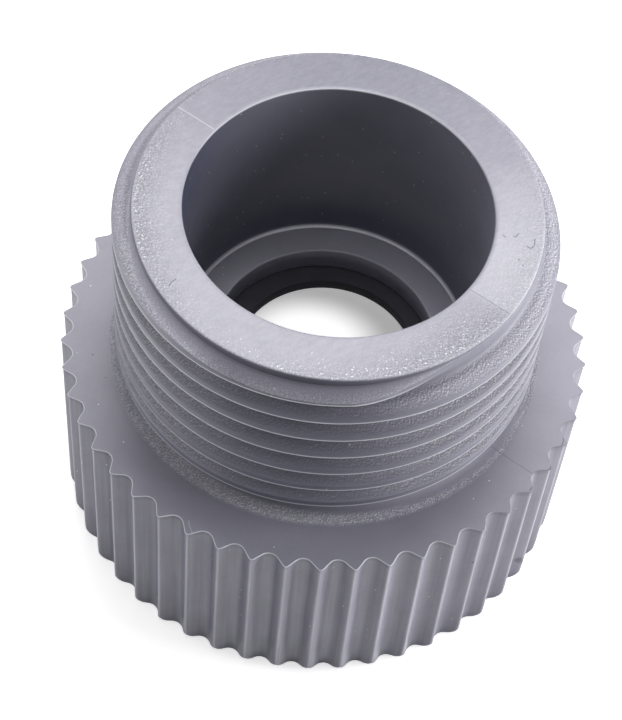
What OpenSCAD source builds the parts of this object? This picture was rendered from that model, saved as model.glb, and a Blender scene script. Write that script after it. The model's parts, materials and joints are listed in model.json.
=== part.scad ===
// Threaded adapter for tubing: a male pipe thread above a fluted collar for the hand,
// and a female socket with a flat rubber washer inside the collar.
// Millimetres, +Z up. The origin is on the axis at the open end of the socket,
// where the adapter stands. The front of the part faces -Y.

/* [Male thread] */
// Outside diameter over the thread crests
thread_d = 26.44; // [25:0.02:28]
// Distance from one crest to the next
thread_pitch = 1.814; // [1.5:0.001:2]
// Height of the threaded end above the collar
stub_h = 13.35; // [12:0.05:18]
// Height of the plain end between the thread and the sealing face
tip_h = 0.5; // [0.3:0.05:1.2]
// Depth of the first crest below the sealing face, where the thread begins
start_depth = 0.74; // [0.5:0.02:1.2]
// Direction in which the thread begins, counted from +X
start_angle = -92; // [-180:1:180]
// Angle over which the first crest fades in
start_fade = 26; // [10:1:60]
// Angle over which the last crest fades out
end_fade = 60; // [10:1:120]
// Height of the flare where the threaded end meets the collar
flare_h = 0.88; // [0.5:0.02:1.2]
// Outward reach of that flare past the thread's crests
flare_reach = 0.15; // [0.05:0.05:0.5]

/* [Collar] */
// Outside diameter over the ribs between the flutes
collar_d = 33.2; // [32.4:0.1:36]
// Height of the collar
collar_h = 13.9; // [12:0.1:18]
// Number of flutes round the collar
flute_count = 50; // [40:2:54]
// Depth of each flute
flute_depth = 0.7; // [0.4:0.05:0.8]
// Radius at the bottom of a flute
flute_r = 0.65; // [0.4:0.05:0.8]
// Slope of a flute's straight sides, against the outline's direction
flute_slope = 47; // [40:1:60]
// Direction of the first flute, counted from +X
flute_angle = 3.95; // [0:0.05:9]
// Chamfer on the collar's upper edge
edge_chamfer = 0.2; // [0.1:0.05:0.4]
// Rounded lower ends of the ribs: how far up the collar, and how far in at the foot
foot_round_h = 1; // [0.4:0.1:2]
foot_round_w = 0.6; // [0.2:0.05:0.65]

/* [Passage] */
// Diameter of the upper bore
bore_d = 18.2; // [16:0.1:19.5]
// Radius of the corner between the upper bore and the ledge
ledge_fillet = 0.4; // [0.2:0.1:0.8]
// Rounding of the upper bore's rim at the sealing face
rim_round = 0.15; // [0.1:0.05:0.3]
// Diameter of the port through the web
port_d = 14; // [12:0.1:15]
// Thickness of the web that carries the washer
web_t = 1.7; // [1.4:0.1:2.5]
// Height of the web's ledge against the top of the collar, below when positive
ledge_drop = 0.1; // [0:0.1:0.8]

/* [Socket] */
// Inside diameter over the crests of the female thread
socket_d = 24.12; // [23:0.01:25]
// Diameter of the plain lead-in below that thread
lead_d = 28; // [27:0.1:28.4]
// Height of the lead-in
lead_h = 3; // [1.5:0.1:4]
// Width of the chamfer at the socket's mouth
mouth_chamfer = 0.4; // [0.2:0.1:0.8]
// Height of the recess that keeps the washer in
recess_h = 1.6; // [1.2:0.1:2.5]
// Depth of that recess behind the thread's crests
recess_depth = 0.45; // [0.3:0.05:0.7]

/* [Washer] */
// Thickness of the washer
washer_t = 0.8; // [0.6:0.1:1.1]
// Diameter of the washer's hole
washer_hole_d = 11.4; // [10:0.1:13]
// Gap round the washer in its recess, when it lies in the middle
washer_gap = 0.3; // [0.25:0.05:0.4]
// How far the washer lies off the axis, to +X and to +Y
washer_shift = [0.19, 0.15]; // [0:0.01:0.2]

/* [Hidden] */

body_colour = "#8f8e9b";
washer_colour = "#26262b";
overlap = 1;
// Length of a flute's cutter past the bottom of its sides
flute_reach = 1.5;
// Facets of the rounding at the foot
foot_steps = 3;
$fn = 96;

// Slant of the step between the lead-in and the thread's crests
lead_step = (lead_d - socket_d) / 2 * tan(30);

// Levels up the axis
face_z = collar_h + stub_h;
shoulder_z = face_z - tip_h;
ledge_z = collar_h - ledge_drop;
seat_z = ledge_z - web_t;
recess_z = seat_z - recess_h;

// Whitworth form of 55 degrees: depth and rounding as shares of the pitch
form_depth = 0.640327;
form_round = 0.137329;
flank_angle = 27.5;
thread_h = form_depth * thread_pitch;
round_r = form_round * thread_pitch;
// Half the width of the rounded crest, and how far its edges lie below its top
round_w = round_r * cos(flank_angle);
round_drop = round_r * (1 - sin(flank_angle));
crest_r = thread_d / 2;
root_r = crest_r - thread_h;

// The thread is built in columns round the axis, each with the same rows down the part
columns = 72;
// The core lies just inside the flat sides of the thread's root
core_r = root_r * cos(180 / columns) - 0.01;
sleeve_r = (core_r + bore_d / 2) / 2;
start_z = face_z - start_depth;
last_z = collar_h + flare_h;
turns = ceil((start_z - last_z) / thread_pitch) + 2;
end_turn = (start_z - last_z) / thread_pitch - 0.25;

// Rows of one turn: distance below the crest and radius
form = [
    [-round_w, crest_r - round_drop],
    [0, crest_r],
    [round_w, crest_r - round_drop],
    [thread_pitch / 2 - round_w, root_r + round_drop],
    [thread_pitch / 2, root_r],
    [thread_pitch / 2 + round_w, root_r + round_drop]
];
form_rows = len(form);
// Turns of rows above the start, from which the first column and the last one are cut off
turns_above = 2;
rows = form_rows * (turns + turns_above);

// Share of the full thread height at a number of turns down from its start
function ramp(x) = let (share = min(1, max(0, x))) share * share * (3 - 2 * share);
function height_share(turn) =
    ramp(1 + turn * 360 / start_fade) * ramp(1 - (turn - end_turn) * 360 / end_fade);
function limited(r, turn) = min(r, root_r + thread_h * height_share(turn));

// Turns down from the start at a column and row, and the thread's point there
function turn_at(i, j) = floor(j / form_rows) - turns_above + i / columns;
function raw_z(i, j) = start_z - thread_pitch * turn_at(i, j) - form[j % form_rows][0];
function raw_r(i, j) =
    let (next = j % form_rows == form_rows - 1 ? 1 : 0)
    limited(form[j % form_rows][1], turn_at(i, j) + next);

// Radius of a column at a level between two of its rows
function radius_at(i, j, z) =
    let (share = (raw_z(i, j) - z) / (raw_z(i, j) - raw_z(i, j + 1)))
    raw_r(i, j) + share * (raw_r(i, j + 1) - raw_r(i, j));

// First and last row of a column between the shoulder and the flare. A row that all but
// meets one of those levels is taken as on it, so that no face is too thin to build.
snap = 0.01;
function top_row(i) = max([for (j = [0 : rows - 1]) if (raw_z(i, j) >= shoulder_z - snap) j]);
function low_row(i) = min([for (j = [0 : rows - 1]) if (raw_z(i, j) <= last_z + snap) j]);

// A column's list of radius and height, cut off level at both ends
function column_point(i, j, top, low) =
    j <= top ? [radius_at(i, top, shoulder_z), shoulder_z]
    : j >= low ? [radius_at(i, low - 1, last_z), last_z]
    : [raw_r(i, j), raw_z(i, j)];

base_r = crest_r + flare_reach;
sleeve_end = [
    [root_r + round_drop, last_z - 0.2 * flare_h],
    [base_r, collar_h],
    [base_r, collar_h - overlap],
    [sleeve_r, collar_h - overlap],
    [sleeve_r, shoulder_z]
];
ring_rows = rows + len(sleeve_end);

tops = [for (i = [0 : columns - 1]) top_row(i)];
lows = [for (i = [0 : columns - 1]) low_row(i)];

function turned(i, p) =
    let (a = start_angle - 360 * i / columns)
    [p[0] * cos(a), p[0] * sin(a), p[1]];

sleeve_points = [
    for (i = [0 : columns - 1]) for (j = [0 : ring_rows - 1])
        turned(i, j < rows ? column_point(i, j, tops[i], lows[i]) : sleeve_end[j - rows])
];

// A point's place in that list. The last column meets the first one a turn lower.
function spot(i, j) =
    j < rows
        ? (i < columns
            ? i * ring_rows + min(max(j, tops[i]), lows[i])
            : min(max(j + form_rows, tops[0]), lows[0]))
        : (i % columns) * ring_rows + (j - rows) % len(sleeve_end) + rows;

function wrapped_spot(i, j) = j < ring_rows ? spot(i, j) : spot(i, 0);

function apart(t) = t[0] != t[1] && t[1] != t[2] && t[2] != t[0];

sleeve_faces = [
    for (i = [0 : columns - 1]) for (j = [0 : ring_rows - 1])
        let (
            a = wrapped_spot(i, j),
            b = wrapped_spot(i, j + 1),
            c = wrapped_spot(i + 1, j + 1),
            d = wrapped_spot(i + 1, j)
        )
        each [for (t = [[a, b, c], [a, c, d]]) if (apart(t)) t]
];

// Threaded outside of the upper end, as a sleeve sunk into the core and the collar
module thread_sleeve() {
    polyhedron(points = sleeve_points, faces = sleeve_faces);
}

// Section of one flute: a round bottom with straight sides that open outward from it
module flute() {
    side_x = -flute_r * cos(flute_slope);
    side_y = flute_r * sin(flute_slope);
    open_y = side_y + flute_reach / tan(flute_slope);
    circle(r = flute_r, $fn = 32);
    polygon([
        [side_x, -side_y],
        [side_x + flute_reach, -open_y],
        [side_x + flute_reach, open_y],
        [side_x, side_y]
    ]);
}

// Section of the collar with its flutes
module fluted_section() {
    difference() {
        circle(d = collar_d);
        for (n = [0 : flute_count - 1])
            rotate(flute_angle + n * 360 / flute_count)
                translate([collar_d / 2 - flute_depth + flute_r, 0])
                    flute();
    }
}

// Outline that trims the collar's edges
module collar_blank() {
    rotate_extrude()
        polygon([
            [0, 0],
            for (a = [90 : -90 / foot_steps : 0])
                [collar_d / 2 - foot_round_w * (1 - cos(a)), foot_round_h * (1 - sin(a))],
            [collar_d / 2, collar_h - edge_chamfer],
            [collar_d / 2 - edge_chamfer, collar_h],
            [0, collar_h]
        ]);
}

module collar() {
    intersection() {
        linear_extrude(collar_h) fluted_section();
        collar_blank();
    }
}

// Half section of all the room inside: bore, port, washer recess and socket
module passage_section() {
    difference() {
        polygon([
            [0, -overlap],
            [lead_d / 2 + mouth_chamfer + overlap, -overlap],
            [lead_d / 2, mouth_chamfer],
            [lead_d / 2, lead_h - lead_step],
            [socket_d / 2, lead_h],
            [socket_d / 2, recess_z],
            [socket_d / 2 + recess_depth, recess_z],
            [socket_d / 2 + recess_depth, seat_z],
            [port_d / 2, seat_z],
            [port_d / 2, ledge_z],
            [bore_d / 2, ledge_z],
            [bore_d / 2, face_z + overlap],
            [0, face_z + overlap]
        ]);
        ledge_corner();
    }
    rim_corner();
}

// Material left in the corner between the ledge and the bore
module ledge_corner() {
    translate([bore_d / 2 - ledge_fillet, ledge_z])
        difference() {
            square(ledge_fillet);
            translate([0, ledge_fillet]) circle(r = ledge_fillet, $fn = 32);
        }
}

// Material taken off the edge between the bore and the sealing face
module rim_corner() {
    translate([bore_d / 2, face_z - rim_round])
        difference() {
            square([rim_round, rim_round + overlap]);
            translate([rim_round, 0]) circle(r = rim_round, $fn = 32);
        }
}

module adapter_body() {
    color(body_colour)
        difference() {
            union() {
                collar();
                translate([0, 0, collar_h - overlap])
                    cylinder(r = core_r, h = stub_h + overlap);
                thread_sleeve();
            }
            rotate_extrude() passage_section();
        }
}

module sealing_washer() {
    washer_r = socket_d / 2 + recess_depth - washer_gap;
    color(washer_colour)
        translate([washer_shift[0], washer_shift[1], seat_z - washer_t])
            difference() {
                cylinder(r = washer_r, h = washer_t);
                translate([0, 0, -overlap])
                    cylinder(d = washer_hole_d, h = washer_t + 2 * overlap);
            }
}

adapter_body();
sealing_washer();
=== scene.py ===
import json
import math

import bmesh
import bpy
import numpy as np
from mathutils import Matrix, Vector


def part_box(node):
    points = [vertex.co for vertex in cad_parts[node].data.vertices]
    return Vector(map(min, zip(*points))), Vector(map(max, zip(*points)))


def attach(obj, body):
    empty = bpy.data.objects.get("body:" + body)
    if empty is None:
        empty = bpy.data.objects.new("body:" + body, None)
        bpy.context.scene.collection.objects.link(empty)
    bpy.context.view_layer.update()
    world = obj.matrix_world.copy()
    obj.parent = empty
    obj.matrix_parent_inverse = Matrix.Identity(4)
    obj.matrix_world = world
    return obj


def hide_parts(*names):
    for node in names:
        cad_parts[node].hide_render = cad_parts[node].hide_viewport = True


# Looks of a moulded grey threaded adapter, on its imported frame. Sizes are in millimetres, heights
# are above the socket's open end, and both become metres when a mesh or an object is made. Angles
# are in degrees round the axis from +X: -90 is the front, 0 the right and 90 the back.
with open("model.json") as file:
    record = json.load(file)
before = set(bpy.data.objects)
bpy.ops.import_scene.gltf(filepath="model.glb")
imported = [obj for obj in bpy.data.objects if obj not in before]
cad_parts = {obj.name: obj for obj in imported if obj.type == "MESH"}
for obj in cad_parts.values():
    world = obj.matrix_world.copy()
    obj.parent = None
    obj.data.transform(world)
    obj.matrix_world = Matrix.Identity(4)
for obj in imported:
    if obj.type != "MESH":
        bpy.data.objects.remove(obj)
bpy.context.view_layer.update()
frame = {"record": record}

MM = 0.001
mounts = {m["name"]: m for m in frame["record"]["mounts"]}
body_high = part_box("adapter_body")[1]
washer_low, washer_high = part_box("sealing_washer")

# Overall sizes from the frame
FACE_Z = body_high.z / MM
COLLAR_R = body_high.x / MM
SOCKET_R = mounts["socket_thread"]["dims"]["r_mm"]
WASHER_R = (washer_high.x - washer_low.x) / 2 / MM
WASHER_X = (washer_high.x + washer_low.x) / 2 / MM
WASHER_Y = (washer_high.y + washer_low.y) / 2 / MM
WASHER_LOW = washer_low.z / MM
SEAT_Z = washer_high.z / MM

# Both threads are 3/4 inch parallel pipe threads. The depth and the rounding of their standard
# form are shares of the pitch.
PITCH = 1.814
FORM_DEPTH = 0.640327
FORM_ROUND = 0.137329
FLANK_ANGLE = 27.5
CREST_R = 26.44 / 2
ROOT_R = CREST_R - FORM_DEPTH * PITCH
# Height of the threaded end above the collar
STUB_H = 13.35
# The male thread as moulded: a flat crest, with a softer upper corner and a sharp lower one.
# Distances along the axis run down from the middle of the crest.
MALE_CREST_R = 13.18
MALE_DEPTH = 1.12
CREST_ABOVE = 0.42
CREST_BELOW = 0.18
UPPER_CORNER = 0.12
LOWER_CORNER = 0.05
# Rows for the painted shade on crest and root, and the painted highlight on the crest's lower edge
CREST_STEP = 0.05
CREST_EDGE = 0.06
CREST_DARK_END = 0.1
FLANK_STEP = 0.04
ROOT_HALF_WIDTH = 0.06
ROOT_ROUND = 0.03
# Rows up the upper flank, from the root: depth below the crest, texture and tone, the last being
# painted light and shade
UPPER_FLANK = [(0.75, 1, -0.3), (0.45, 1, 0.1), (0.2, 1, 0), (0.05, 0.6, -0.1)]

# Where the male thread begins and ends, how far it takes to rise and to fade in degrees, and the
# hollow corner under it
TIP_R = ROOT_R - 0.04
START_DEPTH = 0.74
START_ANGLE = -92
START_HOLD = 6
START_FADE = 36
END_FADE = 60
COLLAR_H = FACE_Z - STUB_H
FLARE_H = 0.88
FLARE_R = CREST_R + 0.15
LAST_Z = COLLAR_H + FLARE_H
START_Z = FACE_Z - START_DEPTH
END_TURN = (START_Z - LAST_Z) / PITCH - 0.25
# The thread's upper end lies this far below the sealing face at its highest, and this much lower
# at its lowest, just past the start
SHOULDER_DEPTH = 0.18
SHOULDER_DROP = 0.42
SHOULDER_RISE_ANGLE = 42
SHOULDER_FALL_ANGLE = 110

# Socket
SOCKET_FADE_START = 0.3
SOCKET_FADE_H = 1.0
LEAD_R = 28 / 2
LEAD_H = 3
MOUTH_CHAMFER = 0.4
LEAD_STEP = (LEAD_R - SOCKET_R) * math.tan(math.radians(30))
RECESS_H = 1.6
RECESS_DEPTH = 0.45
RECESS_Z = SEAT_Z - RECESS_H

# Collar
FLUTES = 50
FLUTE_DEPTH = 0.72
FLUTE_R = 0.65
FLUTE_SLOPE = 47
FLUTE_ANGLE = 3.95
RIB_ROUND = 0.07
RIM_ROUND = 0.04
RIM_LIP_H = 0.1
RIM_LIP = 0.06
FOOT_ROUND_H = 1
FOOT_ROUND_W = 0.6
FLANGE_INNER_R = COLLAR_R - FLUTE_DEPTH - 0.6

# Direction of the mould's parting line
PARTING_ANGLE = -32

# Passage and sealing face
BORE_R = 9.1
PORT_R = 7.0
LEDGE_Z = COLLAR_H - 0.1
LEDGE_FILLET = 0.28
BORE_RIM = 0.11
FACE_RIM = 0.08
PORT_RIM = 0.1
WASHER_HOLE_R = 5.7
WASHER_EDGE = 0.05
# Rows of the sealing face: share of its width, and how much of the edge's texture each has
FACE_ROWS = [(0.06, 0.15), (0.3, 0.35), (0.5, 0.55), (0.7, 0.8), (0.85, 0.95), (0.95, 1)]

# Directions in which painted shade, painted light and texture change, each with how far it reaches
# on either side. A tone paints light and shade into the colour: above 0 it is a share of the pale
# colour, as painted light, and below 0 a share of the deep colour, as painted shade. Grain is the
# strength of the eroded texture, and glint that of the painted glints in it.
BORE_RIM_BACK = (95, 85)
BORE_LEFT = (180, 85)
FACE_RIGHT = (-12, 62)
FACE_LEFT = (190, 75)
FACE_FRONT = (-100, 70)
FACE_BACK = (85, 110)
FACE_ROUGH = (-48, 34)
FACE_BROAD_ROUGH = (-48, 40)
FACE_FROSTED = (-12, 50)
GLINTS_FRONT = (-72, 75)
GLINTS_LEFT = (190, 60)
THREAD_FRONT = (-95, 50)
THREAD_DARK = (-90, 55)
THREAD_LIT = (-145, 40)
THREAD_RIGHT = (-30, 60)
THREAD_BACK = (150, 70)
FLARE_RIGHT = (-30, 80)
FLANGE_FRONT = (-95, 100)
RIM_RIGHT = (-25, 50)
FLUTES_LEFT = (-130, 70)
VALLEYS_LEFT = (-155, 60)
SIDES_DARK = (-112, 75)
SIDES_LIT = (-105, 60)

# Columns of the mesh round the axis: SPLIT at the collar for each one elsewhere
COLUMNS = 300
SPLIT = 4
# A row this close to a corner keeps its shading from spreading
HOLD = 0.03
# Points closer than this, in metres, become one
MERGE_DISTANCE = 0.0004 * MM

coarse_angles = START_ANGLE - np.linspace(0, 360, COLUMNS + 1)
fine_angles = START_ANGLE - np.linspace(0, 360, COLUMNS * SPLIT + 1)


def ramp(x):
    """0 below 0, 1 above 1, and smooth between."""
    share = np.clip(x, 0, 1)
    return share * share * (3 - 2 * share)


def near(angles, centre, reach):
    """1 in one direction round the axis, falling to 0 at the reach on either side."""
    return ramp(1 - np.abs((angles - centre + 180) % 360 - 180) / reach)


def around(centre, reach):
    """The same for each of the coarser columns."""
    return near(coarse_angles, centre, reach)


def arc(start, end, steps):
    return np.radians(np.linspace(start, end, steps))


def smooth_min(a, b, width):
    """The smaller of two values, with the corner where they cross rounded."""
    share = np.clip(0.5 + 0.5 * (b - a) / width, 0, 1)
    return b * (1 - share) + a * share - width * share * (1 - share)


class Skin:
    """A closed surface built as rows of points round the axis, each joined to the row before."""

    def __init__(self):
        self.points = []
        self.marks = []
        self.faces = []
        self.previous = None

    def row(self, r, angle, z, grain=0.0, glint=0.0, tone=0.0):
        r, angle, z, grain, glint, tone = np.broadcast_arrays(r, angle, z, grain, glint, tone)
        start = len(self.points)
        radians = np.radians(angle)
        self.points.extend(zip(r * np.cos(radians), r * np.sin(radians), z))
        self.marks.extend(zip(grain, glint, tone))
        spots = list(range(start, start + len(r)))
        if self.previous:
            self.join(self.previous, spots)
        self.previous = spots

    def ring(self, r, z, grain=0.0, glint=0.0, tone=0.0):
        """A plain circle of the coarser columns."""
        self.row(r, coarse_angles, z, grain, glint, tone)

    def join(self, a, b):
        """Faces between two rows, where one may have SPLIT times the columns of the other."""
        steps_a = SPLIT if len(a) > len(b) else 1
        steps_b = SPLIT if len(b) > len(a) else 1
        for i in range(min(len(a), len(b)) - 1):
            first = a[i * steps_a:(i + 1) * steps_a + 1]
            second = b[i * steps_b:(i + 1) * steps_b + 1]
            self.faces.append(first + second[::-1])

    def mesh(self, name):
        """The merged mesh, with each point's texture, painted glints and tone, which is painted
        light and shade, as attributes.
        """
        work = bmesh.new()
        layers = [work.verts.layers.float.new(n) for n in ("grain", "glint", "tone")]
        spots = []
        for point, marks in zip(self.points, self.marks):
            spot = work.verts.new([c * MM for c in point])
            for layer, mark in zip(layers, marks):
                spot[layer] = mark
            spots.append(spot)
        for face in self.faces:
            work.faces.new([spots[i] for i in face])
        bmesh.ops.remove_doubles(work, verts=work.verts, dist=MERGE_DISTANCE)
        bmesh.ops.dissolve_degenerate(work, edges=work.edges, dist=MERGE_DISTANCE)
        bmesh.ops.recalc_face_normals(work, faces=work.faces)
        mesh = bpy.data.meshes.new(name)
        work.to_mesh(mesh)
        work.free()
        return mesh


def female_form():
    """One pitch of the rounded form: distance below the crest, radius, and no texture or tone."""
    depth = FORM_DEPTH * PITCH
    rounding = FORM_ROUND * PITCH
    bulge = 90 - FLANK_ANGLE
    form = []
    for a in arc(-bulge, bulge, 5):
        form.append((rounding * math.sin(a), rounding * (1 - math.cos(a)), 0, 0))
    for a in arc(bulge, -bulge, 5):
        form.append((PITCH / 2 - rounding * math.sin(a), depth - rounding * (1 - math.cos(a)),
                     0, 0))
    offsets, depths, grain, tone = np.array(form).T
    return offsets, SOCKET_R + depths, grain, tone


def male_form():
    """One pitch of the moulded form: distance below the crest line, radius, texture and tone. The
    crest has painted shade with a painted highlight on its lower edge, and the root has painted
    shade too."""
    bulge = 90 - FLANK_ANGLE
    lean = math.tan(math.radians(FLANK_ANGLE))
    form = []
    for a in arc(-bulge, 0, 4):
        form.append((UPPER_CORNER - CREST_ABOVE + UPPER_CORNER * math.sin(a),
                     UPPER_CORNER * (1 - math.cos(a)), 0.3 - 0.3 * math.cos(a) ** 4,
                     -0.1 - 0.25 * math.cos(a) ** 4))
    form.append((UPPER_CORNER - CREST_ABOVE + CREST_STEP, 0, 0, -0.45))
    form.append((CREST_BELOW - LOWER_CORNER - CREST_DARK_END, 0, 0, -0.35))
    form.append((CREST_BELOW - LOWER_CORNER - CREST_EDGE, 0, 0, 0.9))
    for a in arc(0, bulge, 4):
        form.append((CREST_BELOW - LOWER_CORNER + LOWER_CORNER * math.sin(a),
                     LOWER_CORNER * (1 - math.cos(a)), 0, 1))
    form.append((form[-1][0] + FLANK_STEP * lean, form[-1][1] + FLANK_STEP, 0, -0.6))
    middle = (PITCH + CREST_BELOW - CREST_ABOVE) / 2
    form.append((middle - ROOT_HALF_WIDTH, MALE_DEPTH - ROOT_ROUND, 0.5, -0.65))
    form.append((middle, MALE_DEPTH, 1, -0.65))
    form.append((middle + ROOT_HALF_WIDTH, MALE_DEPTH - ROOT_ROUND, 1, -0.55))
    for depth, grain, tone in UPPER_FLANK:
        form.append((PITCH + form[0][0] - depth * lean, form[0][1] + depth, grain, tone))
    offsets, depths, grain, tone = np.array(form).T
    return offsets, MALE_CREST_R - depths, grain, tone


def thread_sheet(form, crest_z, turns, high, low, limit):
    """Rows of a thread's surface, cut off at two heights, the upper one given for each column.

    limit(r, turn) holds the radius back where the thread fades. Returns radius, height and turn,
    each as rows by columns, and the texture and tone of each row."""
    offsets, radii, grain, tone = form
    steps = np.arange(len(offsets) * turns)
    part = steps % len(offsets)
    turn = (steps // len(offsets))[:, None] - 1 + np.arange(COLUMNS + 1)[None, :] / COLUMNS
    z = crest_z - PITCH * turn - offsets[part][:, None]
    owner = turn + (offsets[part] > PITCH / 2)[:, None]
    r = limit(np.repeat(radii[part][:, None], COLUMNS + 1, axis=1), owner)
    for i in range(COLUMNS + 1):
        top_r, low_r = np.interp([high[i], low], z[::-1, i], r[::-1, i])
        r[z[:, i] > high[i], i] = top_r
        r[z[:, i] < low, i] = low_r
    return r, np.clip(z, low, high), owner, grain[part], tone[part]


def outline_radius(angles):
    """Radius of the fluted outline: round-bottomed flutes with straight sides, and rounded ribs."""
    step = 360 / FLUTES
    side = COLLAR_R * np.radians(np.abs((angles - FLUTE_ANGLE + step / 2) % step - step / 2))
    slope = math.radians(FLUTE_SLOPE)
    arc_side = FLUTE_R * math.sin(slope)
    rise = FLUTE_R - np.sqrt(FLUTE_R ** 2 - np.minimum(side, arc_side) ** 2)
    rise += np.clip(side - arc_side, 0, None) * math.tan(slope)
    return smooth_min(COLLAR_R - FLUTE_DEPTH + rise, COLLAR_R, RIB_ROUND)


def inset_radius(angles, amount):
    """Radius of the outline moved in by an amount: each point is that far from the outline."""
    if amount < 0.001:
        return outline_radius(angles)
    reach = math.degrees(amount / (COLLAR_R - FLUTE_DEPTH))
    turns = np.linspace(-reach, reach, 81)[None, :]
    r = outline_radius(angles[:, None] + turns)
    across = r * np.sin(np.radians(turns))
    depth = np.sqrt(np.clip(amount ** 2 - across ** 2, 0, None))
    inside = np.where(np.abs(across) <= amount, r * np.cos(np.radians(turns)) - depth, COLLAR_R)
    return inside.min(axis=1)


def male_share(turn):
    """1 along the male thread, falling to 0 at its start and its end."""
    start = ramp((START_FADE + START_HOLD + turn * 360) / START_FADE)
    return start * ramp(1 - (turn - END_TURN) * 360 / END_FADE)


def male_limit(r, turn):
    """The radius, held back to the root where the male thread starts and ends."""
    return np.minimum(r, ROOT_R + FORM_DEPTH * PITCH * male_share(turn))


def female_limit(r, turn):
    """The radius, held back to the bore where the female thread starts under the recess."""
    share = ramp((PITCH * turn - SOCKET_FADE_START) / SOCKET_FADE_H)
    return SOCKET_R + (r - SOCKET_R) * share


def shoulder_height(angles):
    """Height of the thread's upper end, which dips round the thread's start."""
    past = (START_ANGLE - angles) % 360
    ahead = 360 - past
    rise = ramp(1 - np.minimum(ahead, SHOULDER_RISE_ANGLE) / SHOULDER_RISE_ANGLE)
    fall = ramp(1 - past / SHOULDER_FALL_ANGLE)
    return FACE_Z - (SHOULDER_DEPTH + SHOULDER_DROP * np.where(past > 180, rise, fall))


shoulder = shoulder_height(coarse_angles)


def flange_painted_shade(angles):
    """Painted shade on the flange, darker towards the front."""
    return -0.25 * near(angles, *FLANGE_FRONT)


def add_face(skin):
    """The bore's rim and the sealing face. The face has painted light at the left, the right and
    the front, up to the mould's parting line, and painted shade at the back, and its texture and
    painted glints grow towards the outer edge."""
    # The bore's rim has a painted highlight, strongest at the back
    for a in arc(90, 0, 7):
        skin.ring(BORE_R + BORE_RIM * (1 - math.sin(a)), FACE_Z - BORE_RIM * (1 - math.cos(a)),
                  tone=(0.1 + 1.1 * around(*BORE_RIM_BACK)) * math.sin(2 * a) ** 3)
    right_half = (coarse_angles - PARTING_ANGLE) % 360 < 180
    face_painted_light = (0.3 * around(*FACE_RIGHT) * np.where(right_half, 1, 0.35)
            + 0.14 * around(*FACE_LEFT) * np.where(right_half, 0.3, 1)
            + 0.14 * around(*FACE_FRONT) - 0.3 * around(*FACE_BACK))
    front = np.where(right_half, 0, around(*GLINTS_FRONT))
    left = np.where(right_half, 0, around(*GLINTS_LEFT))
    edge_glint = 0.12 + 0.88 * np.maximum(front, 0.85 * left)
    rough = around(*FACE_ROUGH) * np.where(right_half, 0.35, 1)
    frosted = np.where(right_half, 0.45 * around(*FACE_FROSTED), 0)
    inner_r = BORE_R + BORE_RIM
    # The texture keeps to the outer edge, but reaches farther in at the front right and the left
    power = 1.2 + 1.8 * (1 - np.maximum(around(*FACE_BROAD_ROUGH), 0.6 * left))
    for share, part in FACE_ROWS:
        spread = part ** power
        grain = (0.05 + 0.35 * spread * edge_glint + (0.6 * rough + 0.8 * frosted) * part
                 + 0.6 * left * spread)
        skin.ring(inner_r + (TIP_R - inner_r - FACE_RIM) * share, FACE_Z, grain,
                  spread * edge_glint, face_painted_light)
    for a in arc(0, 90, 4):
        skin.ring(TIP_R - FACE_RIM * (1 - math.sin(a)), FACE_Z - FACE_RIM * (1 - math.cos(a)),
                  0.5, 0.5 * edge_glint, face_painted_light + 0.1)
    # Painted shade on the short wall under the face's edge
    skin.ring(TIP_R, FACE_Z - FACE_RIM - HOLD, tone=-0.1)
    skin.ring(TIP_R, shoulder + HOLD, tone=-0.35)
    skin.ring(TIP_R, shoulder, tone=-0.35)


def add_male_thread(skin):
    """The thread's rows, with less texture at the front and at the back left. Their tone is painted
    light and shade: darker at the front, where the thread fades and on the shelf at the back left,
    lighter at the front left, with the form's dark parts weaker at the right.
    """
    turns = math.ceil((START_Z - LAST_Z) / PITCH) + 3
    back_left = around(*THREAD_BACK)
    sides = (1 - 0.6 * around(*THREAD_FRONT)) * (1 - 0.6 * back_left)
    rightward = 1 - 0.35 * around(*THREAD_RIGHT)
    lit = 0.1 * around(*THREAD_LIT) - 0.3 * around(*THREAD_DARK)
    shelf_grain = 0.6 - 0.4 * back_left
    shelf_tone = 0.06 - 0.16 * back_left
    r, z, turn, grain, tone = thread_sheet(
        male_form(), START_Z, turns, shoulder, LAST_Z, male_limit)
    for j in range(len(r)):
        # The level shelf at the upper end belongs to no flank
        shelf = (z[j] >= shoulder - 1e-6) & (r[j] > ROOT_R + 0.02)
        share = male_share(turn[j])
        shade = tone[j] * share * (rightward if tone[j] < -0.2 else 1) - 0.12 * (1 - share)
        skin.row(r[j], coarse_angles, z[j],
                 np.where(shelf, shelf_grain, grain[j] * sides * share), 0,
                 np.where(shelf, shelf_tone, shade + lit))


def add_flare(skin):
    """The hollow corner under the thread, textured from part of the way down. Above the texture it
    has painted shade, less at the right, and the textured part a little painted light.
    """
    right = around(*FLARE_RIGHT)
    textured_from = 48 + 28 * right
    for a in arc(15, 90, 9):
        share = ramp((math.degrees(a) - textured_from) / 15)
        skin.ring(FLARE_R - (FLARE_R - ROOT_R) * math.cos(a), LAST_Z - FLARE_H * math.sin(a),
                  share, 0, 0.15 - (0.5 - 0.3 * right) * (1 - share))
    skin.ring(FLARE_R + 0.3, COLLAR_H, tone=flange_painted_shade(coarse_angles))


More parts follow.
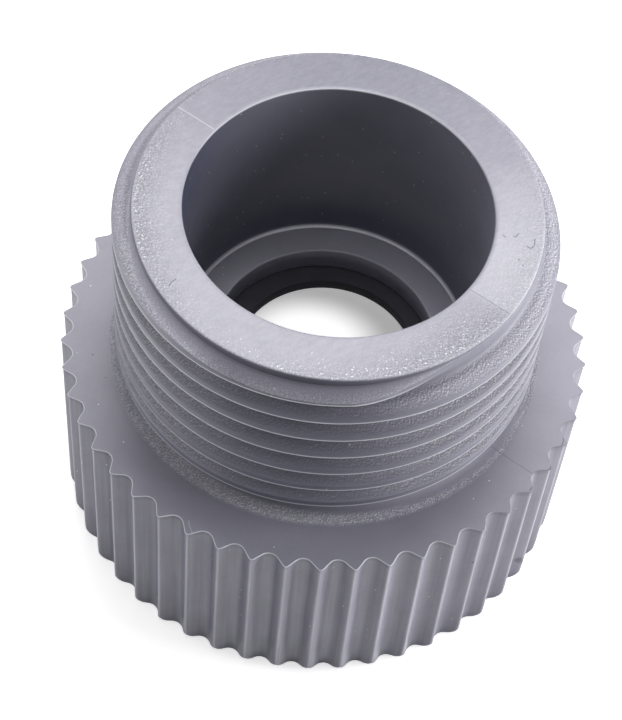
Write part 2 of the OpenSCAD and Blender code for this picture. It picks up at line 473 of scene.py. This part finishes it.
def add_collar(skin):
    """The flange, the flutes and the foot. A thin lip stands out at the rim, as the mould leaves
    it."""
    angles = fine_angles
    skin.row(FLANGE_INNER_R, angles, COLLAR_H, tone=flange_painted_shade(angles))
    skin.row(inset_radius(angles, RIM_ROUND + 0.01), angles, COLLAR_H, tone=flange_painted_shade(angles))
    # Painted highlight on the rim's rounding, turning to painted shade at the right
    rim_painted_shading = 0.8 - 1.1 * near(angles, *RIM_RIGHT)
    for a in arc(0, 90, 4):
        skin.row(inset_radius(angles, RIM_ROUND * (1 - math.sin(a))), angles,
                 COLLAR_H - RIM_ROUND * (1 - math.cos(a)), tone=rim_painted_shading)

    # Painted light and shade on the flutes: a painted highlight on each rib's crest. At the left
    # and the front, the sides that face left and the bottoms of the flutes have painted shade, and
    # the other sides a little painted light; the flutes at the left are a little darker.
    lip = COLLAR_H - RIM_LIP_H
    wall = inset_radius(angles, RIM_LIP)
    slope = np.gradient(wall, np.radians(angles)) / wall
    rib_crest_highlight = 0.4 * ramp((wall - wall.max() + 0.03) / 0.025)
    valley_painted_shade = ramp((COLLAR_R - RIM_LIP - FLUTE_DEPTH + 0.2 - wall) / 0.15)
    side = (rib_crest_highlight - 0.05 * near(angles, *FLUTES_LEFT)
            - 0.45 * valley_painted_shade * near(angles, *VALLEYS_LEFT)
            - 0.45 * ramp(slope) * near(angles, *SIDES_DARK)
            + 0.06 * ramp(-slope) * near(angles, *SIDES_LIT))
    # A painted highlight on the lip, strongest at the right, and painted shadow on the wall just
    # under it
    skin.row(inset_radius(angles, 0), angles, lip + 0.05, tone=0.1 + 0.3 * near(angles, *RIM_RIGHT))
    skin.row(inset_radius(angles, 0.02), angles, lip + 0.02, tone=-0.1)
    for below, dark in ((0.04, 0.4), (0.16, 0.2), (0.5, 0)):
        skin.row(wall, angles, lip - below, tone=side - dark)
    for height, dark in ((COLLAR_H / 2, 0), (4, 0), (FOOT_ROUND_H + 0.7, 0.1)):
        skin.row(wall, angles, height, tone=side - dark)
    # The rounded foot, with painted shade that deepens towards the floor
    for a in arc(90, 0, 9):
        limit = COLLAR_R - RIM_LIP - FOOT_ROUND_W * (1 - math.sin(a))
        skin.row(smooth_min(wall, limit, 0.08), angles, FOOT_ROUND_H * (1 - math.cos(a)),
                 tone=-0.45 + (0.33 + side) * (1 - math.cos(a)))
    skin.row(FLANGE_INNER_R, angles, 0)


def add_socket(skin):
    """The underside, the lead-in, the female thread, and the recess up to the washer's seat."""
    skin.ring(FLANGE_INNER_R - 0.4, 0)
    skin.ring(LEAD_R + MOUTH_CHAMFER, 0)
    skin.ring(LEAD_R, MOUTH_CHAMFER)
    skin.ring(LEAD_R, LEAD_H - LEAD_STEP)
    turns = math.ceil((RECESS_Z - LEAD_H) / PITCH) + 3
    r, z = thread_sheet(female_form(), RECESS_Z, turns, np.full(COLUMNS + 1, RECESS_Z), LEAD_H,
                        female_limit)[:2]
    for j in reversed(range(len(r))):
        skin.row(r[j], coarse_angles, z[j])
    skin.ring(SOCKET_R + RECESS_DEPTH, RECESS_Z)
    skin.ring(SOCKET_R + RECESS_DEPTH, SEAT_Z)
    skin.ring(PORT_R + PORT_RIM, SEAT_Z)


def add_passage(skin):
    """The port, the ledge with a painted highlight on its fillet, and the bore with painted shade,
    darkest at its foot.
    """
    # A painted highlight on the port's edge, and a little painted light on the ledge
    skin.ring(PORT_R, SEAT_Z + PORT_RIM, tone=0.8)
    for a in arc(90, 0, 5):
        skin.ring(PORT_R + PORT_RIM * (1 - math.sin(a)), LEDGE_Z - PORT_RIM * (1 - math.cos(a)),
                  tone=0.12)
    skin.ring(PORT_R + PORT_RIM + 0.1, LEDGE_Z, tone=0.15)
    skin.ring(BORE_R - LEDGE_FILLET - 0.1, LEDGE_Z, tone=0.1)
    for a in arc(0, 90, 13):
        skin.ring(BORE_R - LEDGE_FILLET * (1 - math.sin(a)),
                  LEDGE_Z + LEDGE_FILLET * (1 - math.cos(a)),
                  tone=3.2 * math.sin(2 * a) ** 4 - 0.3 * math.sin(a))
    # Painted shade up the bore, darker towards the left near the top
    left = around(*BORE_LEFT)
    rim_z = FACE_Z - BORE_RIM
    for z, tone in ((LEDGE_Z + LEDGE_FILLET + 0.15, -0.55), (LEDGE_Z + 5, -0.35 - 0.25 * left),
                    (rim_z - 2.5, -0.35 - 0.6 * left), (rim_z - 0.05, -0.35 - 0.65 * left),
                    (rim_z, -0.2)):
        skin.ring(BORE_R, z, tone=tone)


def build_body():
    """One closed skin: from the bore's rim over the outside, and up through the socket and bore."""
    skin = Skin()
    for add_rows in (add_face, add_male_thread, add_flare, add_collar, add_socket, add_passage):
        add_rows(skin)
    return skin.mesh("body_skin")


def build_washer():
    """A flat ring with slightly rounded edges."""
    skin = Skin()
    corners = [
        (WASHER_HOLE_R, SEAT_Z, 1, 1), (WASHER_R, SEAT_Z, -1, 1),
        (WASHER_R, WASHER_LOW, -1, -1), (WASHER_HOLE_R, WASHER_LOW, 1, -1)]
    turns = [(180, 90), (90, 0), (0, -90), (-90, -180)]
    for (r, z, in_r, in_z), (start, end) in zip(corners, turns):
        for a in arc(start, end, 5):
            skin.ring(r + in_r * WASHER_EDGE + WASHER_EDGE * math.cos(a),
                      z - in_z * WASHER_EDGE + WASHER_EDGE * math.sin(a))
    skin.ring(WASHER_HOLE_R, SEAT_Z - WASHER_EDGE)
    mesh = skin.mesh("washer_skin")
    mesh.transform(Matrix.Translation((WASHER_X * MM, WASHER_Y * MM, 0)))
    return mesh


def add_piece(name, mesh, material, node):
    """A shaded object that stands for a node of the frame."""
    for polygon in mesh.polygons:
        polygon.use_smooth = True
    piece = bpy.data.objects.new(name, mesh)
    bpy.context.scene.collection.objects.link(piece)
    mesh.materials.append(material)
    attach(piece, "root")
    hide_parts(node)


# Materials
class Shades:
    """Short ways to add and link the nodes of a material, or of a world."""

    def __init__(self, owner, shader="Principled BSDF"):
        self.owner = owner
        owner.use_nodes = True
        self.tree = owner.node_tree
        self.shader = self.tree.nodes[shader]

    def node(self, kind, **inputs):
        made = self.tree.nodes.new("ShaderNode" + kind)
        for name, value in inputs.items():
            self.put(made.inputs[name.replace("_", " ")], value)
        return made

    def put(self, socket, value):
        """Link an output, or set a plain value."""
        if isinstance(value, bpy.types.NodeSocket):
            self.tree.links.new(value, socket)
        else:
            socket.default_value = value

    def math(self, operation, *values):
        made = self.tree.nodes.new("ShaderNodeMath")
        made.operation = operation
        for socket, value in zip(made.inputs, values):
            self.put(socket, value)
        return made.outputs[0]

    def plus(self, a, b):
        return self.math("ADD", a, b)

    def times(self, a, b):
        return self.math("MULTIPLY", a, b)

    def vector(self, operation, *values):
        made = self.tree.nodes.new("ShaderNodeVectorMath")
        made.operation = operation
        for socket, value in zip(made.inputs, values):
            self.put(socket, value)
        return made.outputs["Value" if operation in ("LENGTH", "DOT_PRODUCT") else "Vector"]

    def scaled(self, place, factor):
        made = self.node("VectorMath")
        made.operation = "SCALE"
        self.put(made.inputs[0], place)
        self.put(made.inputs["Scale"], factor)
        return made.outputs["Vector"]

    def mark(self, name):
        """A value that the mesh holds at its points."""
        made = self.tree.nodes.new("ShaderNodeAttribute")
        made.attribute_name = name
        return made.outputs["Fac"]

    def step(self, value, low, high, smooth=True):
        """0 below low, 1 above high, and smooth between. Falls when low is above high."""
        made = self.node("MapRange", Value=value, From_Min=low, From_Max=high)
        made.interpolation_type = "SMOOTHSTEP" if smooth else "LINEAR"
        return made.outputs["Result"]

    def noise(self, place, scale, detail=2.0, roughness=0.5):
        made = self.node("TexNoise", Vector=place, Scale=scale, Detail=detail, Roughness=roughness)
        return made.outputs["Fac"]

    def mix(self, share, a, b):
        made = self.tree.nodes.new("ShaderNodeMix")
        made.data_type = "RGBA"
        for name, value in (("Factor_Float", share), ("A_Color", a), ("B_Color", b)):
            self.put(next(x for x in made.inputs if x.identifier == name), value)
        return next(x for x in made.outputs if x.identifier == "Result_Color")

    def seen(self):
        """1 for rays from the camera and from reflections and glass, and 0 for light."""
        path = self.node("LightPath").outputs
        seen = self.math("MAXIMUM", path["Is Camera Ray"], path["Is Glossy Ray"])
        return self.math("MAXIMUM", seen, path["Is Transmission Ray"])

    def dots(self, place, size, radius, share):
        """Round dots in a share of the cells of a random net, both sizes in millimetres."""
        cells = self.node("TexVoronoi", Vector=place, Scale=1 / size)
        dot = self.step(cells.outputs["Distance"], radius / size * 1.3, radius / size * 0.7)
        chance = self.node("SeparateColor", Color=cells.outputs["Color"]).outputs["Red"]
        return self.times(dot, self.math("LESS_THAN", chance, share))

    def line(self, place, start, end, width):
        """A line between two points, level at 0 where they have no height, faded at its edges."""
        start, end = Vector((*start, 0)[:3]), Vector((*end, 0)[:3])
        run = end - start
        offset = self.vector("SUBTRACT", place, start)
        along = self.math("DIVIDE", self.vector("DOT_PRODUCT", offset, run), run.length_squared)
        along = self.math("MINIMUM", self.math("MAXIMUM", along, 0.0), 1.0)
        gap = self.vector("LENGTH", self.vector("SUBTRACT", offset, self.scaled(run, along)))
        return self.step(gap, width, width * 0.3)


BODY_GREY = (0.318, 0.311, 0.372, 1)
BODY_DARK = (0.288, 0.281, 0.338, 1)
# Mixed in by the tone: painted light and painted shade, and the streaks' pale and dark
BODY_PAINTED_LIGHT_AND_STREAK = (0.65, 0.65, 0.7, 1)
BODY_PAINTED_SHADE_AND_STREAK = (0.06, 0.065, 0.1, 1)
WHITE_DUST = (0.8, 0.8, 0.8, 1)
GLINT = (0.95, 0.95, 0.97, 1)
PARTING_HIGHLIGHT = (0.9, 0.9, 0.9, 1)
DARK_SPECK_AND_STEP_SHADE = (0.05, 0.05, 0.06, 1)
RUBBER = (0.02, 0.02, 0.027, 1)
RUBBER_PALE = (0.036, 0.036, 0.047, 1)

# The eroded texture and the painted glints: scale of their noise, and where their painted shadows
# lie
SPECKLE_SCALE = 8.5
SPECKLE_SHADOW = (0.05, -0.05, -0.04)
GLINT_SCALE = 6.5
GLINT_SHADOW = (0.08, -0.1, 0)
# Streaks: directions along and across them on the sealing face, and their noise on the flutes
STREAK_ALONG = (0.78, 0.62, 0)
STREAK_ACROSS = (-0.62, 0.78, 0)
FLUTE_STREAKS = (4, 4, 0.12)
STREAK_STRENGTH = 0.4
# Dust and specks: size of the random net's cells, radius of a dot, and share of cells with one
BORE_DUST = (0.5, 0.038, 0.34)
OUTSIDE_DUST = (0.9, 0.045, 0.28)
DARK_SPECKS = (2.0, 0.06, 0.12)
# Edges, by distance from the axis, from which the flutes, the outside, the face's specks and its
# parting line are drawn
FLUTES_FROM_R = (15, 15.2)
OUTSIDE_FROM_R = (12.3, 12.4)
SPECKS_FROM_R = (9.5, 9.6)
PARTING_FROM_R = (9.2, 9.3)
PARTING_WIDTH = 0.045
# Relief, in millimetres, and gloss
PIT_DEPTH = 0.1
WAVE_DEPTH = 0.08
ROUGHNESS = 0.36
ROUGHNESS_RANGE = 0.1

# Fine marks on the sealing face: points in millimetres, and the width
SCRATCHES = [
    ([(11.42, -0.85), (11.4, -1.29), (11.21, -1.54), (10.97, -1.42)], 0.05),
    ([(10.17, -0.76), (10.32, -0.82), (10.45, -0.54)], 0.045),
    ([(9.56, -0.77), (9.71, -0.9)], 0.045),
    ([(10.51, -2.42), (10.54, -2.45)], 0.06),
    ([(10.75, -2.79), (10.78, -2.82)], 0.06),
    ([(-9.05, -6.84), (-8.95, -6.55), (-8.73, -6.31)], 0.045),
]
# The same on the flange and its rim
FLANGE_SPECKS = [
    ([(-14.31, -3.05), (-14.29, -3.07)], 0.09),
    ([(-13.27, -4.65), (-13.24, -4.66)], 0.07),
    ([(13.3, -9.6), (13.5, -9.28)], 0.06),
    ([(14.45, -7.98), (14.62, -7.66)], 0.06),
    ([(15.2, -6.1), (15.3, -5.85), (15.28, -5.6)], 0.06),
]
FLANGE_SCRATCHES = [([(-6.96, -14.13), (-6.85, -14.5), (-6.62, -14.98)], 0.05)]
# The same with heights: a dirty spot and a speck on the flutes, and two scratches on the thread
WALL_SPECKS = [
    ([(14.19, -8.03, 2.45), (14.46, -7.6, 1.9)], 0.42),
    ([(10.45, -12.72, 9.85), (10.47, -12.7, 9.9)], 0.1),
]
THREAD_SCRATCHES = [
    ([(4.1, -11.9, 21.3), (4.35, -12.1, 20.6)], 0.07),
    ([(3.7, -12.0, 20.95), (3.72, -12.1, 20.6)], 0.06),
]


def body_material():
    paint = Shades(bpy.data.materials.new("satin_grey_plastic"))
    mm = paint.scaled(paint.node("TexCoord").outputs["Object"], 1 / MM)
    z = paint.node("SeparateXYZ", Vector=mm).outputs["Z"]
    flat = paint.vector("MULTIPLY", mm, (1, 1, 0))
    r = paint.vector("LENGTH", flat)
    facing = paint.node("SeparateXYZ", Vector=paint.node("NewGeometry").outputs["Normal"])
    level = paint.step(facing.outputs["Z"], 0.9, 0.98)
    on_face = paint.times(level, paint.step(z, FACE_Z - 0.06, FACE_Z - 0.03))
    on_flange = paint.math("SUBTRACT", level, on_face)
    on_flutes = paint.times(paint.step(r, *FLUTES_FROM_R), paint.math("SUBTRACT", 1, level))
    grain, glint, tone = (paint.mark(n) for n in ("grain", "glint", "tone"))

    # Base colour: slow and fine mottling
    shade = paint.plus(paint.times(paint.noise(mm, 0.35, 3), 0.6),
                       paint.times(paint.noise(mm, 3.5, 3), 0.2))
    shade = paint.plus(shade, paint.times(paint.noise(mm, 9, 2), 0.2))
    colour = paint.mix(paint.step(shade, 0.35, 0.65), BODY_DARK, BODY_GREY)

    # Streaks: slanting on the sealing face, and upright on the flutes
    slanted = paint.node(
        "CombineXYZ", X=paint.times(paint.vector("DOT_PRODUCT", mm, STREAK_ALONG), 1.4),
        Y=paint.times(paint.vector("DOT_PRODUCT", mm, STREAK_ACROSS), 3.2)).outputs[0]
    slanted = paint.math("SUBTRACT", paint.noise(slanted, 1, 5, 0.65), 0.5)
    slanted = paint.times(slanted, paint.times(on_face, STREAK_STRENGTH))
    upright = paint.noise(paint.vector("MULTIPLY", mm, FLUTE_STREAKS), 1, 2)
    upright = paint.math("SUBTRACT", upright, 0.5)
    upright = paint.times(upright, paint.times(on_flutes, STREAK_STRENGTH))
    tone = paint.plus(tone, paint.plus(slanted, upright))

    # Hollows, which the tone darkens, shine less than edges
    shine = paint.times(paint.plus(tone, 1.0), 0.5)
    shine = paint.math("SUBTRACT", shine, paint.times(on_flutes, 0.12))
    paint.put(paint.shader.inputs["Specular IOR Level"], shine)

    # Speckle of the eroded texture: grains painted as lit from one side, a painted highlight on one
    # side and painted shadow on the other
    bits = paint.noise(mm, SPECKLE_SCALE, 3, 0.7)
    shifted = paint.noise(paint.vector("ADD", mm, SPECKLE_SHADOW), SPECKLE_SCALE, 3, 0.7)
    relief = paint.times(paint.math("SUBTRACT", bits, shifted), grain)
    tone = paint.plus(tone, paint.times(relief, 3))
    tone = paint.plus(tone, paint.times(paint.math("ABSOLUTE", relief), 1.3))
    # The tone becomes colour: painted light above 0, painted shade below, with streaks and speckle
    colour = paint.mix(paint.step(tone, 0, 1, False), colour, BODY_PAINTED_LIGHT_AND_STREAK)
    colour = paint.mix(paint.step(tone, 0, -1, False), colour, BODY_PAINTED_SHADE_AND_STREAK)

    # Painted glints near the sealing face's outer edge, each with a painted shadow beside it
    reach = paint.times(paint.math("SUBTRACT", glint, 1), 0.14)
    spots = paint.noise(mm, GLINT_SCALE, 2, 0.6)
    beside = paint.noise(paint.vector("ADD", mm, GLINT_SHADOW), GLINT_SCALE, 2, 0.6)
    glinting = paint.step(glint, 0.02, 0.1)
    for noise, share, mark_colour in ((beside, 0.35, BODY_PAINTED_SHADE_AND_STREAK), (spots, 0.9, GLINT)):
        spark = paint.times(paint.step(paint.plus(noise, reach), 0.57, 0.65), glinting)
        colour = paint.mix(paint.times(spark, share), colour, mark_colour)

    # Dust in the bore and on the collar, and a few dark specks
    dust = paint.times(paint.dots(mm, *BORE_DUST), paint.step(r, BORE_R + 0.1, BORE_R))
    outside = paint.times(paint.dots(mm, *OUTSIDE_DUST), paint.step(r, *OUTSIDE_FROM_R))
    colour = paint.mix(paint.math("MAXIMUM", dust, outside), colour, WHITE_DUST)
    specks = paint.times(paint.dots(mm, *DARK_SPECKS), paint.step(r, *SPECKS_FROM_R))
    colour = paint.mix(paint.times(specks, 0.8), colour, DARK_SPECK_AND_STEP_SHADE)

    # Parting line of the mould: painted shade on one side of its step and a painted highlight on
    # the other
    turn = math.radians(PARTING_ANGLE)
    across = paint.vector("DOT_PRODUCT", mm, (math.sin(turn), -math.cos(turn), 0))
    along = paint.vector("DOT_PRODUCT", mm, (math.cos(turn), math.sin(turn), 0))
    parting = paint.step(paint.math("ABSOLUTE", across), PARTING_WIDTH, PARTING_WIDTH / 3)
    shown = paint.plus(on_face, paint.times(on_flange, 0.8))
    parting = paint.times(parting, paint.times(shown, paint.step(r, *PARTING_FROM_R)))
    ahead = paint.math("GREATER_THAN", along, 0)
    behind = paint.math("SUBTRACT", 1, ahead)
    for side, share, mark_colour in ((ahead, 0.5, DARK_SPECK_AND_STEP_SHADE), (behind, 0.3, PARTING_HIGHLIGHT)):
        colour = paint.mix(paint.times(parting, paint.times(side, share)), colour, mark_colour)

    # Scratches and specks
    for lines, spot, where, mark_colour, share in (
            (SCRATCHES, flat, on_face, DARK_SPECK_AND_STEP_SHADE, 0.75),
            (FLANGE_SPECKS, flat, on_flange, DARK_SPECK_AND_STEP_SHADE, 0.6),
            (FLANGE_SCRATCHES, flat, on_flange, WHITE_DUST, 0.25),
            (WALL_SPECKS, mm, 1.0, DARK_SPECK_AND_STEP_SHADE, 0.6),
            (THREAD_SCRATCHES, mm, 1.0, WHITE_DUST, 0.4)):
        marks = 0.0
        for points, width in lines:
            for start, end in zip(points, points[1:]):
                marks = paint.math("MAXIMUM", marks, paint.line(spot, start, end, width))
        colour = paint.mix(paint.times(paint.times(marks, where), share), colour, mark_colour)
    paint.put(paint.shader.inputs["Base Color"], colour)

    # Relief: eroded pits where the grain attribute says so, and a faint waviness elsewhere
    pits = paint.node("Bump", Height=bits, Strength=grain, Distance=PIT_DEPTH * MM)
    waves = paint.node("Bump", Height=paint.noise(mm, 0.9, 2), Strength=0.25,
                       Distance=WAVE_DEPTH * MM, Normal=pits.outputs["Normal"])
    paint.put(paint.shader.inputs["Normal"], waves.outputs["Normal"])
    paint.put(paint.shader.inputs["Roughness"],
              paint.plus(ROUGHNESS, paint.times(paint.noise(mm, 1.7, 3), ROUGHNESS_RANGE)))
    return paint.owner


def washer_material():
    paint = Shades(bpy.data.materials.new("black_rubber"))
    mottle = paint.noise(paint.node("TexCoord").outputs["Object"], 900)
    paint.put(paint.shader.inputs["Base Color"], paint.mix(mottle, RUBBER, RUBBER_PALE))
    paint.put(paint.shader.inputs["Roughness"], 0.8)
    return paint.owner


# Light that the camera and reflections see from the floor, besides what the lamps give it, and
# the floor's own white
FLOOR_GLOW = 0.62
FLOOR_WHITE = (0.9, 0.9, 0.9, 1)
# Painted shadow on the floor inside the socket: grey at its edge, and white round a centre given in
# millimetres, with its reach across and along
SOCKET_PAINTED_SHADOW = 0.38
SOCKET_CENTRE = (-1, 9)
SOCKET_REACH = (6, 4.6)


def floor_material():
    """White to the camera and in reflections, with the object's soft shadow kept, and a painted
    shadow inside the socket.
    """
    paint = Shades(bpy.data.materials.new("white_floor"))
    paint.put(paint.shader.inputs["Base Color"], FLOOR_WHITE)
    paint.put(paint.shader.inputs["Roughness"], 1.0)
    paint.put(paint.shader.inputs["Specular IOR Level"], 0)
    place = paint.node("TexCoord").outputs["Object"]
    offset = paint.vector("SUBTRACT", place, (SOCKET_CENTRE[0] * MM, SOCKET_CENTRE[1] * MM, 0))
    share = (1 / (SOCKET_REACH[0] * MM), 1 / (SOCKET_REACH[1] * MM), 0)
    share = paint.vector("LENGTH", paint.vector("MULTIPLY", offset, share))
    inside_painted_shadow = paint.plus(paint.times(paint.step(share, 1.05, 0.45), 1 - SOCKET_PAINTED_SHADOW), SOCKET_PAINTED_SHADOW)
    away = paint.step(paint.vector("LENGTH", place), (LEAD_R + 0.1) * MM, (LEAD_R + 0.3) * MM)
    strength = paint.node("MapRange", Value=away, To_Min=inside_painted_shadow, To_Max=FLOOR_GLOW)
    strength = paint.times(paint.seen(), strength.outputs["Result"])
    glow = paint.node("Emission", Strength=strength)
    both = paint.node("AddShader")
    paint.put(both.inputs[0], paint.shader.outputs["BSDF"])
    paint.put(both.inputs[1], glow.outputs["Emission"])
    paint.put(paint.tree.nodes["Material Output"].inputs["Surface"], both.outputs["Shader"])
    return paint.owner


# Stage. The floor's half width is in metres.
FLOOR_REACH = 1.5
# Share of the white surround that lights the object
AMBIENT = 0.022


def add_floor():
    corners = [(x * FLOOR_REACH, y * FLOOR_REACH, 0)
               for x, y in ((-1, -1), (1, -1), (1, 1), (-1, 1))]
    mesh = bpy.data.meshes.new("floor")
    mesh.from_pydata(corners, [], [(0, 1, 2, 3)])
    floor = bpy.data.objects.new("floor", mesh)
    bpy.context.scene.collection.objects.link(floor)
    mesh.materials.append(floor_material())


def add_world():
    """A plain white surround: full strength where it is seen or reflected, dimmer as light."""
    paint = Shades(bpy.data.worlds.new("studio"), "Background")
    bpy.context.scene.world = paint.owner
    strength = paint.node("MapRange", Value=paint.seen(), To_Min=AMBIENT, To_Max=1.0)
    paint.put(paint.shader.inputs["Color"], (1, 1, 1, 1))
    paint.put(paint.shader.inputs["Strength"], strength.outputs["Result"])


# Square area lights: distance and size in metres, then name, direction round the axis, elevation
# and power in watts
LIGHT_DISTANCE = 0.25
LIGHT_SIZE = 0.16
LIGHTS = [
    ("back", 90, 60, 0.395),
    ("top", 90, 85, 0.165),
    ("right", 0, 15, 0.73),
    ("left", 180, 15, 0.18),
    ("high_left", 180, 50, 0.06),
    ("front_left", -135, 25, 0.017),
    ("front_right", -45, 25, 0.02),
]


def add_lights():
    for name, azimuth, elevation, power in LIGHTS:
        lamp = bpy.data.lights.new(name, "AREA")
        lamp.shape = "SQUARE"
        lamp.size = LIGHT_SIZE
        lamp.energy = power
        light = bpy.data.objects.new(name, lamp)
        a, e = math.radians(azimuth), math.radians(elevation)
        towards = Vector((math.cos(e) * math.cos(a), math.cos(e) * math.sin(a), math.sin(e)))
        light.location = Vector((0, 0, COLLAR_H * MM)) + towards * LIGHT_DISTANCE
        light.rotation_euler = towards.to_track_quat("Z", "Y").to_euler()
        bpy.context.scene.collection.objects.link(light)


# Camera, at the photograph's angle. The sealing face's centre lies a little right of and above the
# middle of the picture.
CAMERA_ELEVATION = 55.757
CAMERA_ROLL = 5.951
CAMERA_DISTANCE = 119.68
CENTRE_RIGHT = 1.634
CENTRE_UP = 8.836
FOCAL_LENGTH = 103.336
SENSOR_HEIGHT = 36
CLIP_START = 0.01


def add_camera():
    e, roll = math.radians(CAMERA_ELEVATION), math.radians(CAMERA_ROLL)
    forward = Vector((0, math.cos(e), -math.sin(e)))
    level, rise = Vector((1, 0, 0)), Vector((0, math.sin(e), math.cos(e)))
    right = math.cos(roll) * level + math.sin(roll) * rise
    up = math.cos(roll) * rise - math.sin(roll) * level
    place = (Vector((0, 0, FACE_Z)) - CENTRE_RIGHT * right - CENTRE_UP * up
             - CAMERA_DISTANCE * forward) * MM
    data = bpy.data.cameras.new("camera")
    data.sensor_fit = "VERTICAL"
    data.sensor_height = SENSOR_HEIGHT
    data.lens = FOCAL_LENGTH
    data.clip_start = CLIP_START
    camera = bpy.data.objects.new("camera", data)
    turn = Matrix((right, up, -forward)).transposed().to_4x4()
    camera.matrix_world = Matrix.Translation(place) @ turn
    bpy.context.scene.collection.objects.link(camera)
    bpy.context.scene.camera = camera


add_camera()
add_floor()
add_world()
add_lights()
add_piece("moulded_body", build_body(), body_material(), "adapter_body")
add_piece("rubber_washer", build_washer(), washer_material(), "sealing_washer")

bpy.context.scene.view_settings.view_transform = "Standard"
